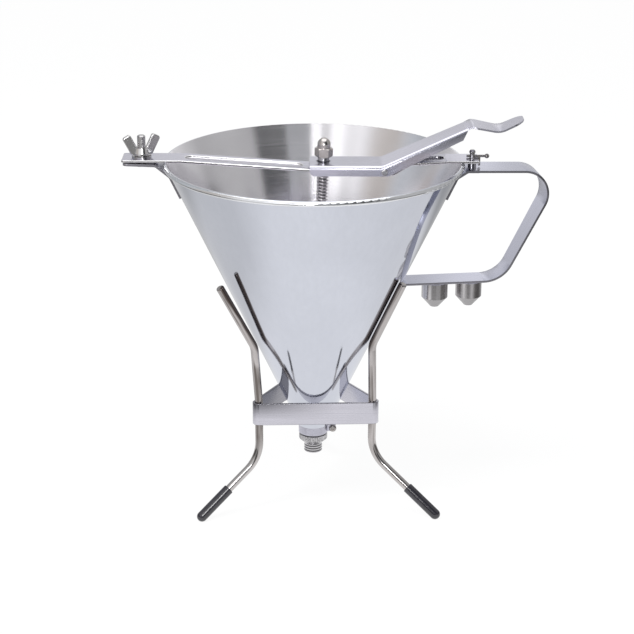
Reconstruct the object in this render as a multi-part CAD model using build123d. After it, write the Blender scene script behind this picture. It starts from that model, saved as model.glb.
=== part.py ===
from build123d import *
import os
from math import cos, hypot, pi, radians, sin, sqrt, tan

# Sauce dispenser: a conical funnel with a lever-lifted valve rod, hung in a three-legged wire stand.
# Millimetres, +Z up. The origin is on the funnel's axis, in the plane that the feet stand on.
# The strip handle points along +X.

# Fits and gaps
RUN_FIT = 0.05  # radial play of a turning or sliding fit
SEAT_FIT = 0.02  # radial play of a fixed fit
BODY_GAP = 0.3  # room between pieces that move against each other

# Funnel cone
RIM_R = 95.0  # outside of the rolled lip
RIM_Z = 230.0  # top of the lip
LIP_R = 1.7  # section radius of the lip
CONE_T = 1.0  # sheet
NECK_R = 9.6
NECK_TOP_Z = 49.2  # where the cone meets the neck

# Outlet
NECK_H = 5.4
SEAT_H = 6.8  # top of the valve seat above the neck
SEAT_DEPTH = 6.0
BORE_R = 4.25
SOCKET_R = 7.0
SOCKET_H = 4.6
GASKET_T = 0.8
NIPPLE_R = 9.4
NIPPLE_H = 6.0
NIPPLE_CHAMFER = 2.7
KNURL_N = 44
KNURL_DEPTH = 0.45
THREAD_R = 6.0
THREAD_PITCH = 1.75
THREAD_DEPTH = 0.9
THREAD_RINGS = 4
NECK_EAR_REACH = 5.4  # beside the neck
NECK_EAR_T = 4.0
NECK_EAR_H = 4.4
NECK_SCREW_OUT = 3.4  # screw axis beyond the neck
NECK_SCREW_R = 1.2
NECK_SCREW_HEAD_R = 2.4
NECK_SCREW_HEAD_H = 1.7
NECK_SCREW_SOCKET_R = 1.1

# Stand
WIRE_R = 2.6
LEG_CIRCLE_R = 42.5
STAND_TURN = 2.2  # degrees about Z
STAND_SHIFT = 0.8  # stand's middle beside the funnel's axis
ARM_TIP_Z = 157.5
ARM_GAP = 0.4
ARM_SPLAY_LEFT = 6.6  # tip of the left arm away from the cone
LEG_LEAN_LEFT = 3.0  # left leg bent outwards above the band
LEG_LEAN_RIGHT = -0.7
ARM_BEND_R = 14.0
LEAN_BEND_R = 30.0
KNEE_BEND_R = 22.0
FOOT_LEFT_R = 86.0
FOOT_RIGHT_R = 89.0
FOOT_BACK_R = 87.0
FOOT_ANGLE = 36.0  # below the horizontal
SLEEVE_R = 3.4
SLEEVE_L = 25.0
SLEEVE_END = 2.0  # rubber beyond the end of the wire
FOOT_FLAT = 0.5
BAND_T = 1.5
BAND_H = 15.0
BAND_Z = 59.0

# Straps on the cone
TAB_Z0 = 207.0
TAB_Z1 = 220.8
TAB_SINK = 0.5  # tab face let in by the cone's curve
STRAP_BEND_R = 3.0

# Left lug, bolt and wing nut
LUG_CLEAR = 4.0  # bend of the strap beyond the lip
LUG_W = 20.0
LUG_T = 1.6
LUG_DROP = 1.1  # lug top below the lip's top, at the root
LUG_END_DROP = 0.4
LUG_OVERHANG = 24.7
BOLT_OVERHANG = 13.3
BOLT_R = 2.6
BOLT_RISE = 15.5  # above the lip's top
BOLT_HEAD_R = 4.6
BOLT_HEAD_H = 1.5
WASHER_R = 6.2
WASHER_T = 1.0
WING_HUB_R = 4.6
WING_HUB_TOP_R = 3.9
WING_HUB_H = 4.8
WING_LEAN = 27.0
WING_L = 13.0
WING_W = 5.6
WING_T = 2.8
WING_OUT = 6.8  # middle of a wing from the bolt
WING_UP = 6.6  # middle of a wing above the hub's base
WING_TIP_R = 1.5
WING_EDGE_R = 0.6
WING_TURN = 18.0

# Handle
HANDLE_CLEAR = 1.6  # bend of the strap beyond the lip
HANDLE_W = 22.2
HANDLE_LOW_W = 17.2
HANDLE_T = 1.4
HANDLE_DROP = 4.9  # centre of the top strip below the lip's top
HANDLE_FALL = 1.8
HANDLE_REACH = 61.5  # beyond the lip to the upper corner before rounding
HANDLE_LOW_Z = 151.4
GRIP_LEAN = 26.9  # degrees from the vertical
GRIP_UPPER_R = 15.6
GRIP_LOWER_R = 19.2
HANDLE_SKEW = 7.5  # degrees about Z at the root
NOZZLE_INNER_X = 77.9
NOZZLE_OUTER_X = 100.1
NOZZLE_R = 8.4
NOZZLE_WALL_H = 10.4
NOZZLE_H = 17.0
NOZZLE_TIP_R = 3.4
NOZZLE_TIP_H = 0.9
NOZZLE_HOLE_INNER_R = 1.2
NOZZLE_HOLE_OUTER_R = 1.7
STUD_R = 5.2
STUD_H = 8.6

# Latch at the handle's root
LATCH_OUT = 4.7  # beyond the lip
LATCH_COLLAR_R = 2.7
LATCH_NECK_R = 1.6
LATCH_HEAD_R = 2.0
LATCH_TAIL_R = 2.2
LATCH_TAIL_H = 1.4
PULL_R = 0.8
PULL_TAIL = 3.6
PULL_REACH = 9.2
PULL_BALL_R = 1.5
PULL_LEG_OUT = 3.3

# Bridge bar
BAR_W = 19.2
BAR_T = 1.5
BAR_DIP = 7.8
BAR_FLAT_IN = 12.0  # flat end inside the lip
BAR_END_OUT = 25.5  # left end beyond the lip
BAR_FORK_OUT = 8.6  # right end beyond the lip
VALLEY_IN = 8.4  # valley floor on the rod's side of the pivot
VALLEY_OUT = 5.8
JOGGLE_L = 11.0
JOGGLE_LOW = 1.2
GROOVE_W = 9.5
GROOVE_DEPTH = 1.3
GROOVE_WALL = 1.2
GROOVE_ROD_GAP = 13.0
BAR_CORNER_R = 1.6

# Lever
PIVOT_IN = 50.8  # pivot inside the lip
PIN_R = 1.25
PIN_HEAD_R = 2.1
PIN_HEAD_H = 1.0
EAR_RIM = 1.1
LEVER_W = 26.5
LEVER_T = 1.2
LEVER_TAIL = 8.6  # beyond the rod's axis
LEVER_ARM = 54.2  # pivot to peak
LEVER_BEND_IN = 1.5  # start of the rise before the pivot
LEVER_RISE = 25.0
LEVER_PEAK_W = 22.0
LEVER_TIP_W = 17.0
TONGUE_DIP_L = 17.6
TONGUE_DIP = 3.5
TONGUE_TIP_L = 15.0
TONGUE_TIP_RISE = 6.9
TONGUE_TIP_R = 7.0
LEVER_BEND_R = 7.0
LEVER_EDGE_R = 2.4  # round of the bend between web and flanges
LEVER_TAPER_R = 60.0
LEVER_PEAK_R = 4.0
TONGUE_DIP_R = 12.0
FLANGE_EDGE = 1.3  # flange below the pivot pin
FLANGE_TIP_H = 6.2
FLANGE_SHORT = 2.0  # end of the flanges before the peak
FLANGE_SLANT = 3.5
FLANGE_CORNER = 2.0
TONGUE_FLARE = 3.0
ROD_SLOT_L = 9.0
ROD_SLOT_W = 5.5

# Rod, spring and valve
ROD_R = 2.4
ROD_TILT = 2.0  # degrees towards +X, about the valve seat
BUSH_R = 4.6
BUSH_FLANGE_R = 6.6
BUSH_FLANGE_T = 1.5
BUSH_RISE = 0.7
ROD_WASHER_R = 3.7
ROD_WASHER_T = 2.7
NUT_FLATS = 10.0
NUT_HEX_H = 5.6
NUT_DOME_R = 4.2
NUT_DOME_WALL = 2.2
ROD_IN_NUT = 8.0
SPRING_L = 46.0
SPRING_WIRE_R = 0.6
SPRING_TURNS = 20
SPRING_LEAD_R = 1.5
COLLAR_R = 5.4
COLLAR_H = 3.4
COLLAR_PIN_R = 0.8
VALVE_R = 9.0
VALVE_WALL = 1.8
VALVE_NOSE_R = 3.2
VALVE_HUB_R = 4.4
VALVE_HUB_H = 7.0
SEAL_IN_R = 6.2
SEAL_OUT_R = 7.8
SEAL_T = 1.1

# Derived lines of the cone
CONE_TAN = (RIM_R - LIP_R - NECK_R) / (RIM_Z - LIP_R - NECK_TOP_Z)
CONE_COS = 1.0 / hypot(1.0, CONE_TAN)
CONE_DX = CONE_T / CONE_COS
NECK_Z = NECK_TOP_Z - NECK_H
SEAT_Z = NECK_TOP_Z + SEAT_H

# Derived places of the bridge and lever
BAR_TOP_Z = RIM_Z + BAR_T
FLAT_X = RIM_R - BAR_FLAT_IN
PIVOT_X = RIM_R - PIVOT_IN
VALLEY_X0 = PIVOT_X - VALLEY_IN
VALLEY_X1 = PIVOT_X + VALLEY_OUT
VALLEY_Z = BAR_TOP_Z - BAR_DIP
BAR_SLOPE = BAR_DIP / (FLAT_X + VALLEY_X0)
PIVOT_Z = VALLEY_Z + PIN_R + BODY_GAP
EAR_R = PIN_R + EAR_RIM
WEB_Z = PIVOT_Z + EAR_R + BODY_GAP + LEVER_T / 2
WEB_TOP_Z = WEB_Z + LEVER_T / 2
PEAK_X = PIVOT_X + LEVER_ARM
RISE_X = PIVOT_X - LEVER_BEND_IN
TIP_X = PEAK_X + TONGUE_DIP_L + TONGUE_TIP_L

# Derived places along the tilted rod, measured from the valve seat's height
TILT_TAN = tan(radians(ROD_TILT))
TILT_COS = cos(radians(ROD_TILT))
ROD_BAR_X = (VALLEY_Z + VALLEY_X0 * BAR_SLOPE - SEAT_Z) * TILT_TAN / (1 + BAR_SLOPE * TILT_TAN)
ROD_BAR_Z = SEAT_Z + ROD_BAR_X / sin(radians(ROD_TILT))  # bar top on the rod's line
ROD_WEB_X = (WEB_Z - SEAT_Z) * TILT_TAN
BUSH_SEAT_Z = ROD_BAR_Z - BAR_T - BUSH_FLANGE_R * abs(BAR_SLOPE - TILT_TAN) - SEAT_FIT
SPRING_TOP_Z = BUSH_SEAT_Z - BUSH_FLANGE_T
NUT_Z = SEAT_Z + (WEB_TOP_Z + BODY_GAP - SEAT_Z) / TILT_COS + ROD_WASHER_R * TILT_TAN + ROD_WASHER_T
HANDLE_Z = RIM_Z - HANDLE_DROP
LATCH_X = RIM_R + LATCH_OUT
PULL_Z = BAR_TOP_Z + PULL_R + BODY_GAP

FRONT = Plane.XZ


def cone_r(z):
    """Outside radius of the cone at a height."""
    return NECK_R + (z - NECK_TOP_Z) * CONE_TAN


def turned(points):
    """Solid of revolution about Z from (radius, height) points."""
    return revolve(FRONT * make_face(Polyline(*points, close=True)), Axis.Z)


def plate(points, width):
    """Plate with a flat (x, z) outline, centred on Y = 0."""
    return extrude(FRONT * make_face(Polyline(*points, close=True)), amount=width / 2, both=True)


def strip(points, radii, thickness, width):
    """Bent strip along an (x, z) line, centred on Y = 0."""
    line = FilletPolyline(*points, radius=radii)
    return extrude(FRONT * trace(line, thickness), amount=width / 2, both=True)


def rod(x, y, z0, z1, radius):
    """Upright round bar."""
    return Pos(x, y, z0) * Cylinder(radius, z1 - z0, align=(Align.CENTER, Align.CENTER, Align.MIN))


def cross(x, z, length, radius):
    """Round bar along Y, centred on Y = 0."""
    return Pos(x, 0, z) * Rot(90, 0, 0) * Cylinder(radius, length)


def skewed(shape):
    """The handle's turn about the upright line at its root."""
    return Pos(LATCH_X, 0, 0) * Rot(0, 0, HANDLE_SKEW) * Pos(-LATCH_X, 0, 0) * shape


def tilted(shape):
    """The rod's lean about the valve seat."""
    return Pos(0, 0, SEAT_Z) * Rot(0, ROD_TILT, 0) * Pos(0, 0, -SEAT_Z) * shape


cone_body = turned([
    (0, NECK_TOP_Z),
    (NECK_R, NECK_TOP_Z),
    (RIM_R - LIP_R, RIM_Z - LIP_R),
    (0, RIM_Z - LIP_R),
])


def funnel_cone():
    top_r = RIM_R - LIP_R
    top_z = RIM_Z - LIP_R
    sheet = turned([
        (NECK_R - CONE_DX, NECK_TOP_Z),
        (NECK_R, NECK_TOP_Z),
        (top_r, top_z),
        (top_r - CONE_DX, top_z),
    ])
    lip = revolve(FRONT * Pos(top_r, top_z) * Circle(LIP_R), Axis.Z)
    lip -= turned([
        (0, top_z - 2 * LIP_R),
        (cone_r(top_z - 2 * LIP_R) - CONE_DX, top_z - 2 * LIP_R),
        (cone_r(top_z + 2 * LIP_R) - CONE_DX, top_z + 2 * LIP_R),
        (0, top_z + 2 * LIP_R),
    ])
    return sheet + lip


def outlet_neck():
    inside = cone_r(SEAT_Z) - CONE_DX - SEAT_FIT
    body = turned([
        (SOCKET_R, NECK_Z),
        (NECK_R, NECK_Z),
        (NECK_R, NECK_TOP_Z),
        (NECK_R - CONE_DX - SEAT_FIT, NECK_TOP_Z),
        (inside, SEAT_Z),
        (BORE_R, SEAT_Z - SEAT_DEPTH),
        (BORE_R, NECK_Z + SOCKET_H),
        (SOCKET_R, NECK_Z + SOCKET_H),
    ])
    ear_z = NECK_Z + NECK_H / 2
    ear = Pos(NECK_R + NECK_EAR_REACH / 2 - 1, 0, ear_z) * Box(NECK_EAR_REACH + 2, NECK_EAR_T, NECK_EAR_H)
    ear = fillet(ear.edges().filter_by(Axis.Y).group_by(Axis.X)[-1], NECK_EAR_H * 0.3)
    ear -= rod(0, 0, NECK_Z - 1, SEAT_Z, NECK_R - 0.5)
    hole = cross(NECK_R + NECK_SCREW_OUT, ear_z, NECK_EAR_T * 3, NECK_SCREW_R + SEAT_FIT)
    return body + ear - hole


def neck_screw():
    shank = Cylinder(NECK_SCREW_R, NECK_EAR_T, align=(Align.CENTER, Align.CENTER, Align.MAX))
    head = Cylinder(NECK_SCREW_HEAD_R, NECK_SCREW_HEAD_H, align=(Align.CENTER, Align.CENTER, Align.MIN))
    head = fillet(head.edges().group_by(Axis.Z)[-1], NECK_SCREW_HEAD_H * 0.7)
    socket = extrude(RegularPolygon(NECK_SCREW_SOCKET_R, 6), amount=NECK_SCREW_HEAD_H)
    head -= Pos(0, 0, NECK_SCREW_HEAD_H * 0.4) * socket
    place = Pos(NECK_R + NECK_SCREW_OUT, -NECK_EAR_T / 2, NECK_Z + NECK_H / 2)
    return place * Rot(90, 0, 0) * (shank + head)


def outlet_gasket():
    ring = NIPPLE_R - KNURL_DEPTH
    return rod(0, 0, NECK_Z - GASKET_T, NECK_Z, ring) - rod(0, 0, NECK_Z - 2, NECK_Z + 1, SOCKET_R + BODY_GAP)


def outlet_nipple():
    top = NECK_Z - GASKET_T - BODY_GAP
    low = top - NIPPLE_H
    star = []
    for i in range(2 * KNURL_N):
        r = NIPPLE_R - KNURL_DEPTH * (i % 2)
        a = pi * i / KNURL_N
        star.append((r * cos(a), r * sin(a)))
    knurl = Pos(0, 0, low) * extrude(make_face(Polyline(*star, close=True)), amount=NIPPLE_H)
    knurl &= turned([
        (0, low),
        (NIPPLE_R - NIPPLE_CHAMFER, low),
        (NIPPLE_R, low + NIPPLE_CHAMFER),
        (NIPPLE_R, top - KNURL_DEPTH),
        (NIPPLE_R - KNURL_DEPTH, top),
        (0, top),
    ])
    root = THREAD_R - THREAD_DEPTH
    edge = [(0, low), (root, low)]
    for i in range(THREAD_RINGS):
        z = low - i * THREAD_PITCH
        edge += [
            (root, z - THREAD_PITCH * 0.2),
            (THREAD_R, z - THREAD_PITCH * 0.5),
            (THREAD_R, z - THREAD_PITCH * 0.7),
            (root, z - THREAD_PITCH),
        ]
    edge += [(0, low - THREAD_RINGS * THREAD_PITCH)]
    thread = turned(edge)
    shank = rod(0, 0, top, NECK_Z + SOCKET_H - BODY_GAP, SOCKET_R - RUN_FIT)
    bore = rod(0, 0, 0, SEAT_Z, BORE_R)
    return knurl + thread + shank - bore


FOOT_Z = SLEEVE_R - FOOT_FLAT
FOOT_DX = cos(radians(FOOT_ANGLE))
FOOT_DZ = sin(radians(FOOT_ANGLE))
LEGS = {
    "left": (210.0 + STAND_TURN, ARM_SPLAY_LEFT, LEG_LEAN_LEFT, FOOT_LEFT_R),
    "right": (330.0 + STAND_TURN, LEG_LEAN_RIGHT, LEG_LEAN_RIGHT, FOOT_RIGHT_R),
    "back": (90.0 + STAND_TURN, 0.0, 0.0, FOOT_BACK_R),
}


def stand_leg(splay, lean, foot_r):
    """Arm, leg and foot in one wire, in the plane Y = 0 on the +X side."""
    off = (WIRE_R + ARM_GAP) / CONE_COS
    bend_z = NECK_TOP_Z + (LEG_CIRCLE_R - off - NECK_R) / CONE_TAN
    knee_z = FOOT_Z + (foot_r - LEG_CIRCLE_R) * tan(radians(FOOT_ANGLE))
    points = [(cone_r(ARM_TIP_Z) + off + splay, ARM_TIP_Z), (LEG_CIRCLE_R + lean, bend_z)]
    radii = [ARM_BEND_R]
    if lean:
        points.append((LEG_CIRCLE_R, BAND_Z + BAND_H))
        radii.append(LEAN_BEND_R)
    points += [
        (LEG_CIRCLE_R, knee_z),
        (foot_r - SLEEVE_END * FOOT_DX, FOOT_Z + SLEEVE_END * FOOT_DZ),
    ]
    path = FRONT * FilletPolyline(*points, radius=radii + [KNEE_BEND_R])
    wire = sweep(Plane(origin=path @ 0, z_dir=path % 0) * Circle(WIRE_R), path=path)
    tip = wire.edges().filter_by(GeomType.CIRCLE).sort_by(Axis.Z)[-1]
    return fillet(tip, WIRE_R * 0.4)


def foot_sleeve(foot_r):
    """Rubber sleeve on a foot, in the plane Y = 0 on the +X side."""
    start = (foot_r - SLEEVE_L * FOOT_DX, 0, FOOT_Z + SLEEVE_L * FOOT_DZ)
    along = Plane(origin=start, z_dir=(FOOT_DX, 0, -FOOT_DZ))
    tube = along * Cylinder(SLEEVE_R, SLEEVE_L, align=(Align.CENTER, Align.CENTER, Align.MIN))
    mouth = tube.edges().filter_by(GeomType.CIRCLE).sort_by(Axis.Z)[-1]
    tube = fillet(mouth, (SLEEVE_R - WIRE_R) * 0.6)
    tube += Pos(foot_r, 0, FOOT_Z) * Sphere(SLEEVE_R)
    bore = Cylinder(WIRE_R + SEAT_FIT, SLEEVE_L, align=(Align.CENTER, Align.CENTER, Align.MIN))
    tube -= along * Pos(0, 0, -SLEEVE_END) * bore
    floor = Box(4 * SLEEVE_R, 4 * SLEEVE_R, SLEEVE_R, align=(Align.CENTER, Align.CENTER, Align.MAX))
    return tube - Pos(foot_r, 0, 0) * floor


def stand_band():
    corners = []
    for turn, _, _, _ in LEGS.values():
        corners.append((LEG_CIRCLE_R * cos(radians(turn)), LEG_CIRCLE_R * sin(radians(turn))))
    triangle = make_face(Polyline(*corners, close=True))
    outer = offset(triangle, WIRE_R + SEAT_FIT + BAND_T, kind=Kind.ARC)
    inner = offset(triangle, WIRE_R + SEAT_FIT, kind=Kind.ARC)
    return Pos(STAND_SHIFT, 0, BAND_Z) * extrude(outer - inner, amount=BAND_H)


def strap_start(thickness):
    """Tab on the cone, as the first two points of a strap's line."""
    off = (thickness / 2 - TAB_SINK) / CONE_COS
    return [(cone_r(TAB_Z0) + off, TAB_Z0), (cone_r(TAB_Z1) + off, TAB_Z1)]


def left_lug_bracket():
    z = RIM_Z - LUG_DROP - LUG_T / 2
    end = RIM_R + LUG_OVERHANG
    points = strap_start(LUG_T) + [(RIM_R + LUG_CLEAR, z), (end, z + LUG_DROP - LUG_END_DROP)]
    bracket = strip(points, [STRAP_BEND_R, STRAP_BEND_R], LUG_T, LUG_W) - cone_body
    ends = bracket.faces().sort_by(Axis.X)[-1].edges().sort_by(Axis.Y)
    bracket = fillet([ends[0], ends[-1]], 2 * LUG_T)
    bracket -= rod(RIM_R + BOLT_OVERHANG, 0, z - 2 * LUG_T, z + 2 * LUG_T, BOLT_R + SEAT_FIT)
    return Rot(0, 0, 180) * bracket


BOLT_X = -(RIM_R + BOLT_OVERHANG)
LUG_SLOPE = (LUG_DROP - LUG_END_DROP) / (LUG_OVERHANG - LUG_CLEAR)
BOLT_SEAT_Z = RIM_Z - LUG_DROP - LUG_T + LUG_SLOPE * (BOLT_OVERHANG - LUG_CLEAR - BOLT_HEAD_R) - SEAT_FIT


def lug_bolt():
    shank = rod(BOLT_X, 0, BOLT_SEAT_Z, RIM_Z + BOLT_RISE, BOLT_R)
    shank = chamfer(shank.edges().group_by(Axis.Z)[-1], BOLT_R * 0.25)
    head = extrude(RegularPolygon(BOLT_HEAD_R, 6), amount=BOLT_HEAD_H)
    head = Pos(BOLT_X, 0, BOLT_SEAT_Z - BOLT_HEAD_H) * head
    return shank + head


def lug_washer():
    disc = rod(BOLT_X, 0, BAR_TOP_Z, BAR_TOP_Z + WASHER_T, WASHER_R)
    return disc - rod(BOLT_X, 0, BAR_TOP_Z - 1, BAR_TOP_Z + WASHER_T + 1, BOLT_R + SEAT_FIT)


def wing_nut():
    z = BAR_TOP_Z + WASHER_T + BODY_GAP
    hub = turned([(0, 0), (WING_HUB_R, 0), (WING_HUB_R, 1.2), (WING_HUB_TOP_R, WING_HUB_H), (0, WING_HUB_H)])
    face = Pos(WING_OUT, WING_UP) * Rot(0, 0, -WING_LEAN) * RectangleRounded(WING_W, WING_L, WING_TIP_R)
    wing = extrude(FRONT * face, amount=WING_T / 2, both=True)
    wing = fillet(wing.faces().filter_by(Axis.Y).edges(), WING_EDGE_R)
    nut = hub + wing + Rot(0, 0, 180) * wing
    nut -= rod(0, 0, -WING_L, 2 * WING_L, BOLT_R + RUN_FIT)
    return Pos(BOLT_X, 0, z) * Rot(0, 0, WING_TURN) * nut


def handle():
    root = strap_start(HANDLE_T)
    root += [(RIM_R + HANDLE_CLEAR, HANDLE_Z), (LATCH_X + LATCH_COLLAR_R + 1, HANDLE_Z)]
    strap = strip(root, [STRAP_BEND_R, STRAP_BEND_R], HANDLE_T, HANDLE_W)
    corner_x = RIM_R + HANDLE_REACH
    corner_z = HANDLE_Z - HANDLE_FALL
    low_x = corner_x - (corner_z - HANDLE_LOW_Z) * tan(radians(GRIP_LEAN))
    level_x = LATCH_X + LATCH_COLLAR_R
    grip = [
        (LATCH_X - 1, HANDLE_Z),
        (level_x, HANDLE_Z),
        (corner_x, corner_z),
        (low_x, HANDLE_LOW_Z),
        (cone_r(HANDLE_LOW_Z) - HANDLE_W / 2, HANDLE_LOW_Z),
    ]
    loop = strip(grip, [STRAP_BEND_R, GRIP_UPPER_R, GRIP_LOWER_R], HANDLE_T, HANDLE_W)
    taper = make_face(Polyline(
        (-HANDLE_LOW_W / 2, HANDLE_LOW_Z - HANDLE_T),
        (HANDLE_LOW_W / 2, HANDLE_LOW_Z - HANDLE_T),
        (HANDLE_W / 2, corner_z),
        (HANDLE_W / 2, RIM_Z),
        (-HANDLE_W / 2, RIM_Z),
        (-HANDLE_W / 2, corner_z),
        close=True,
    ))
    loop = skewed(loop & extrude(Plane.YZ * taper, amount=2 * corner_x))
    hole = rod(LATCH_X, 0, HANDLE_Z - HANDLE_T, HANDLE_Z + HANDLE_T, LATCH_NECK_R + SEAT_FIT)
    return strap + loop - cone_body - hole


STUD_Z = HANDLE_LOW_Z - HANDLE_T / 2


def nozzle_stud(x):
    post = rod(x, 0, STUD_Z - STUD_H, STUD_Z, STUD_R)
    post = chamfer(post.edges().group_by(Axis.Z)[0], STUD_R * 0.15)
    return skewed(post)


def nozzle(x, hole_r):
    top = STUD_Z - BODY_GAP
    shoulder = top - NOZZLE_WALL_H
    tip = top - NOZZLE_H
    body = turned([
        (0, tip),
        (NOZZLE_TIP_R * 0.6, tip),
        (NOZZLE_TIP_R * 0.85, tip + NOZZLE_TIP_H * 0.3),
        (NOZZLE_TIP_R, tip + NOZZLE_TIP_H),
        (NOZZLE_R, shoulder),
        (NOZZLE_R, top - 0.4),
        (NOZZLE_R - 0.4, top),
        (0, top),
    ])
    body -= rod(0, 0, STUD_Z - STUD_H - BODY_GAP, top + 1, STUD_R + RUN_FIT)
    body -= rod(0, 0, tip - 1, top, hole_r)
    return skewed(Pos(x, 0, 0) * body)


def latch_stud():
    foot = HANDLE_Z + HANDLE_T / 2
    tail = HANDLE_Z - HANDLE_T / 2
    head_z = PULL_Z + PULL_R + 1
    body = turned([
        (0, tail - LATCH_TAIL_H),
        (LATCH_TAIL_R, tail - LATCH_TAIL_H),
        (LATCH_TAIL_R, tail),
        (LATCH_NECK_R, tail),
        (LATCH_NECK_R, foot),
        (LATCH_COLLAR_R, foot),
        (LATCH_COLLAR_R, RIM_Z),
        (LATCH_NECK_R, RIM_Z),
        (LATCH_NECK_R, head_z),
        (LATCH_HEAD_R, head_z + 0.5),
        (LATCH_HEAD_R, head_z + 1.4),
        (LATCH_HEAD_R * 0.6, head_z + 2.3),
        (0, head_z + 2.3),
    ])
    hole = Pos(0, 0, PULL_Z) * Rot(0, 90, 0) * Cylinder(PULL_R + RUN_FIT, 4 * LATCH_COLLAR_R)
    return Pos(LATCH_X, 0, 0) * (body - hole)


def lock_pin():
    length = PULL_TAIL + PULL_REACH
    shaft = Pos(PULL_REACH - length / 2, 0, PULL_Z) * Rot(0, 90, 0) * Cylinder(PULL_R, length)
    ball = Pos(PULL_REACH, 0, PULL_Z) * Sphere(PULL_BALL_R)
    low = HANDLE_Z + HANDLE_T / 2 + 2 * BODY_GAP
    leg = rod(PULL_LEG_OUT + LATCH_COLLAR_R - LATCH_NECK_R, 0, low, PULL_Z, PULL_R)
    leg = fillet(leg.edges().group_by(Axis.Z)[0], PULL_R * 0.6)
    return Pos(LATCH_X, 0, 0) * (shaft + ball + leg)


def bar_line(lift):
    """The bridge bar's (x, z) line, raised from its middle by a share of its thickness."""
    z = BAR_TOP_Z - BAR_T / 2 + lift
    return [
        (-(RIM_R + BAR_END_OUT), z),
        (-FLAT_X, z),
        (VALLEY_X0, z - BAR_DIP),
        (VALLEY_X1, z - BAR_DIP),
        (VALLEY_X1 + JOGGLE_L, z - JOGGLE_LOW),
        (FLAT_X, z),
        (RIM_R + BAR_FORK_OUT, z),
    ]


BAR_RADII = [9.0, 9.0, 3.0, 3.0, 9.0]


def slot_block(x0, x1, width):
    return Pos((x0 + x1) / 2, 0, RIM_Z) * extrude(SlotOverall(x1 - x0, width), amount=BAR_DIP * 3, both=True)


def bridge_bar():
    bar = strip(bar_line(0), BAR_RADII, BAR_T, BAR_W)
    bar = fillet(bar.edges().filter_by(Axis.Z).group_by(Axis.X)[0], BAR_CORNER_R)
    trough = strip(bar_line(BAR_T / 2), BAR_RADII, 2 * GROOVE_DEPTH, BAR_W)
    under = strip(bar_line(GROOVE_WALL - GROOVE_DEPTH - BAR_T / 2), BAR_RADII, 2 * GROOVE_WALL, BAR_W)
    spans = [
        (-FLAT_X + 2, ROD_BAR_X - GROOVE_ROD_GAP),
        (VALLEY_X1 + JOGGLE_L + 2, FLAT_X - 1),
    ]
    for x0, x1 in spans:
        bar += under & slot_block(x0 - GROOVE_WALL, x1 + GROOVE_WALL, GROOVE_W + 2 * GROOVE_WALL)
        bar -= trough & slot_block(x0, x1, GROOVE_W)
    ear = plate([
        (PIVOT_X - EAR_R, VALLEY_Z - BAR_T / 2),
        (PIVOT_X + EAR_R, VALLEY_Z - BAR_T / 2),
        (PIVOT_X + EAR_R, PIVOT_Z),
        (PIVOT_X - EAR_R, PIVOT_Z),
    ], BAR_W)
    ear += cross(PIVOT_X, PIVOT_Z, BAR_W, EAR_R)
    ear -= Pos(PIVOT_X, 0, VALLEY_Z) * Box(4 * EAR_R, BAR_W - 2 * BAR_T, 6 * EAR_R)
    bar += ear
    bar -= cross(PIVOT_X, PIVOT_Z, 2 * BAR_W, PIN_R + RUN_FIT)
    bar -= tilted(rod(0, 0, RIM_Z - 3 * BAR_DIP, RIM_Z + BAR_DIP, BUSH_R + SEAT_FIT))
    bar -= rod(BOLT_X, 0, RIM_Z - BAR_T, RIM_Z + 2 * BAR_T, BOLT_R + SEAT_FIT)
    fork = LATCH_NECK_R + BODY_GAP
    bar -= rod(LATCH_X, 0, RIM_Z - BAR_T, RIM_Z + 2 * BAR_T, fork)
    bar -= Pos(LATCH_X, 0, RIM_Z) * Box(
        2 * BAR_FORK_OUT, 2 * fork, 4 * BAR_T, align=(Align.MIN, Align.CENTER, Align.CENTER)
    )
    return bar


def rod_bush():
    tube = rod(0, 0, BUSH_SEAT_Z, ROD_BAR_Z + BUSH_RISE, BUSH_R)
    tube += rod(0, 0, SPRING_TOP_Z, BUSH_SEAT_Z, BUSH_FLANGE_R)
    return tilted(tube - rod(0, 0, SPRING_TOP_Z - 1, ROD_BAR_Z + BUSH_RISE + 1, ROD_R + RUN_FIT))


TAIL_X = ROD_WEB_X - LEVER_TAIL
FLANGE_END_X = PEAK_X - FLANGE_SHORT


def lever_line():
    return [
        (TAIL_X, WEB_Z),
        (RISE_X, WEB_Z),
        (PEAK_X, WEB_Z + LEVER_RISE),
        (PEAK_X + TONGUE_DIP_L, WEB_Z + LEVER_RISE - TONGUE_DIP),
        (TIP_X, WEB_Z + LEVER_RISE - TONGUE_DIP + TONGUE_TIP_RISE),
    ]


def lever_plan(inset):
    """The pressed part of the lever seen from above, made narrower on each side by the inset."""
    wide = LEVER_W / 2 - inset
    peak = LEVER_PEAK_W / 2 - inset
    tail = TAIL_X - 2 * inset
    upper = [(tail, wide), (RISE_X, wide), (PEAK_X, peak)]
    lower = [(x, -y) for x, y in reversed(upper)]
    plan = make_face(Polyline(*upper, *lower, close=True))
    return fillet(plan.vertices().filter_by_position(Axis.X, RISE_X - 1, RISE_X + 1), LEVER_TAPER_R)


def lever_block(points, inset):
    """Solid under the lever's (x, z) top line, with its long upper edges rounded."""
    side = make_face(Polyline(*points, close=True))
    bend = side.vertices().sort_by_distance((points[1][0], points[1][1], 0))[0]
    side = fillet(bend, LEVER_BEND_R)
    block = extrude(FRONT * side, amount=LEVER_W, both=True)
    block &= Pos(0, 0, WEB_Z - 2 * LEVER_RISE) * extrude(lever_plan(inset), amount=4 * LEVER_RISE)
    tops = block.faces().filter_by(lambda face: face.normal_at().Z > 0.5)
    walls = block.faces().filter_by(lambda face: abs(face.normal_at().Y) > 0.5)
    long_edges = [edge for edge in tops.edges() if edge in walls.edges()]
    return fillet(long_edges, LEVER_EDGE_R - inset)


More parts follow.
